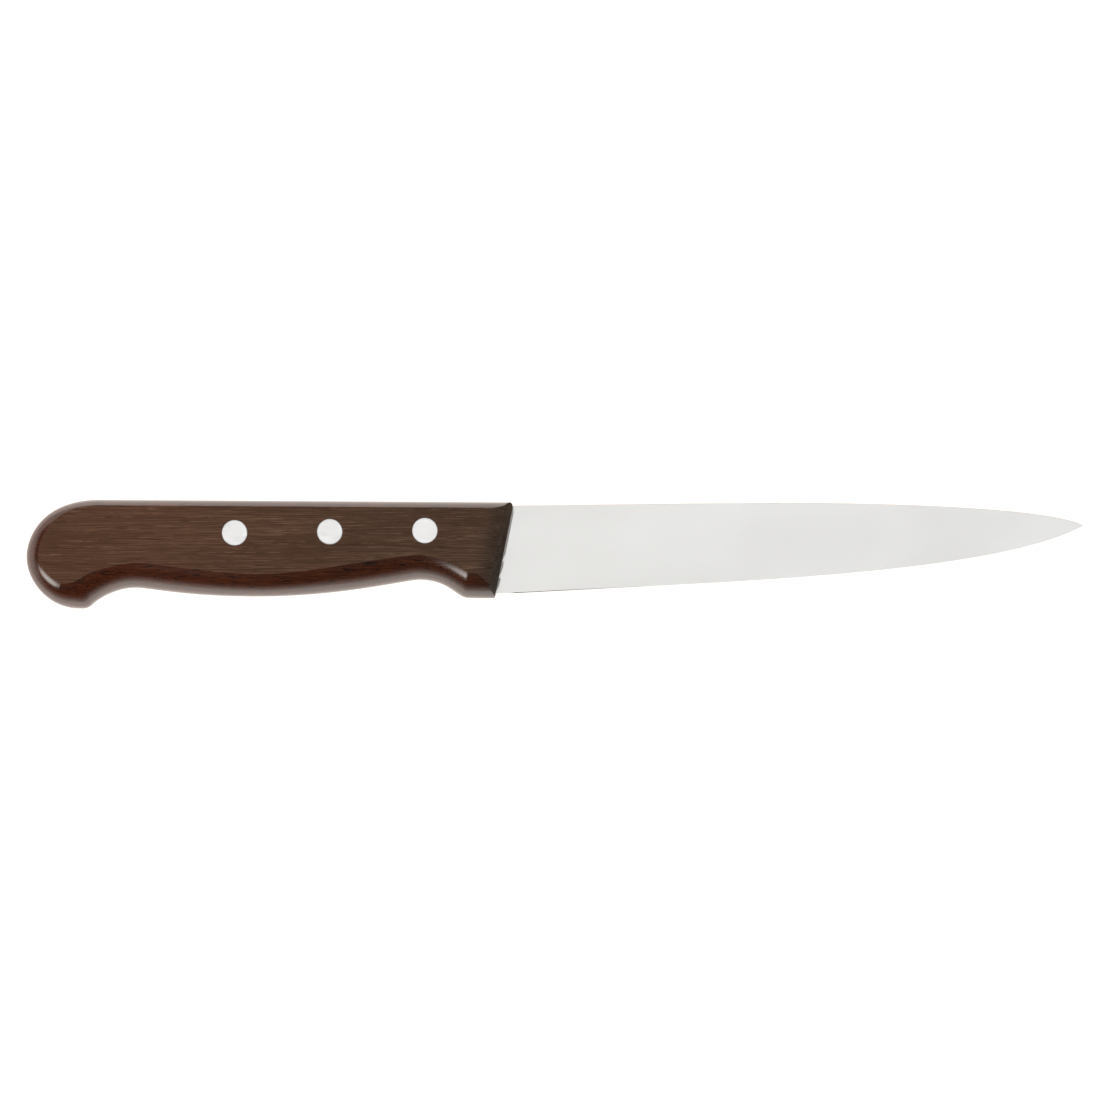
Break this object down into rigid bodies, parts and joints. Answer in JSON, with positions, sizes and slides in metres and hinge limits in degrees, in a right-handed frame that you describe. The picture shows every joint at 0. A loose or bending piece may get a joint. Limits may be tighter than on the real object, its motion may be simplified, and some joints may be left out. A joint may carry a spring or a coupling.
{
  "type": "boning knife",
  "caption": "Boning knife with a slim curved steel blade, a part-length tang and a contoured wooden handle of paired scales fixed by flush rivets.",
  "frame": {"origin": "middle of the underside of the knife's box as it lies on its left side", "axes": "+X along the knife to the tip, +Y to the spine, +Z out of the right side of the handle"},
  "size_m": [0.2915, 0.03, 0.017],
  "materials": {
    "blade_steel": "satin ground stainless steel",
    "rosewood": "satin flats with lacquered rounded edges, fine dark grain along the handle",
    "rivet_metal": "brushed, ground flush with the wood"
  },
  "bodies": {
    "root": {"blade": "blade_steel", "right_scale": "rosewood", "left_scale": "rosewood", "front_rivet_post": "rivet_metal", "front_rivet_sleeve": "rivet_metal", "middle_rivet_post": "rivet_metal", "middle_rivet_sleeve": "rivet_metal", "rear_rivet_post": "rivet_metal", "rear_rivet_sleeve": "rivet_metal"}
  },
  "joints": []
}
